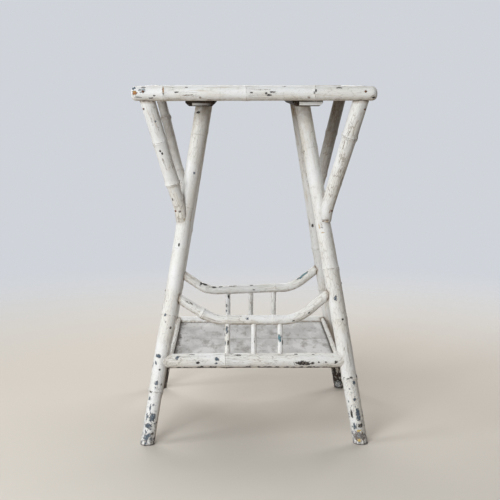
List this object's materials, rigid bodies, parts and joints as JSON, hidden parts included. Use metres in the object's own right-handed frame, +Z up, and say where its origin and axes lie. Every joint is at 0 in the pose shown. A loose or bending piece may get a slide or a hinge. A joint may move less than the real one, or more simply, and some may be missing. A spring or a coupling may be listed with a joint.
{
  "type": "side table",
  "caption": "Square white-painted bamboo side table with a cane-rimmed board top, splayed braced legs and a low shelf fenced by bent gallery rails on spindles.",
  "frame": {"origin": "on the floor, under the middle of the top", "axes": "+Z up, +X to the right and +Y to the back as seen from the front gallery"},
  "size_m": [0.4, 0.402, 0.605],
  "materials": {
    "painted_cane": "old off-white paint over bamboo, crazed and chipped to blue-grey and bare cane",
    "painted_board": "old off-white paint over board, brushed, crazed and worn",
    "weathered_board": "thin grey-white wash over weathered board, grain showing",
    "bare_wood": "bare, unpainted",
    "fastener_steel": "dull, rusty"
  },
  "bodies": {
    "root": {"batten_left": "painted_board", "batten_nails": "fastener_steel", "batten_right": "painted_board", "batten_screws": "fastener_steel", "bead_brads": "fastener_steel", "brace_foot_nails": "fastener_steel", "brace_front_left": "painted_cane", "brace_front_right": "painted_cane", "brace_rear_left": "painted_cane", "brace_rear_right": "painted_cane", "brace_top_nails": "fastener_steel", "cleat_nails": "fastener_steel", "foot_plugs": "bare_wood", "gallery_nails": "fastener_steel", "gallery_rail_front": "painted_cane", "gallery_rail_rear": "painted_cane", "leg_front_left": "painted_cane", "leg_front_right": "painted_cane", "leg_pegs": "bare_wood", "leg_rear_left": "painted_cane", "leg_rear_right": "painted_cane", "rail_dowels": "bare_wood", "rim_nails": "fastener_steel", "shelf_bead_left": "painted_cane", "shelf_bead_right": "painted_cane", "shelf_board_front": "weathered_board", "shelf_board_rear": "weathered_board", "shelf_cleat_front": "bare_wood", "shelf_cleat_rear": "bare_wood", "shelf_nails": "fastener_steel", "shelf_rail_front": "painted_cane", "shelf_rail_rear": "painted_cane", "side_pole_plugs": "bare_wood", "spindle_front_left": "painted_cane", "spindle_front_middle": "painted_cane", "spindle_front_right": "painted_cane", "spindle_rear_left": "painted_cane", "spindle_rear_middle": "painted_cane", "spindle_rear_right": "painted_cane", "top_board_front": "painted_board", "top_board_middle": "painted_board", "top_board_rear": "painted_board", "top_pole_caps": "painted_cane", "top_pole_front": "painted_cane", "top_pole_left": "painted_cane", "top_pole_rear": "painted_cane", "top_pole_right": "painted_cane"}
  },
  "joints": []
}
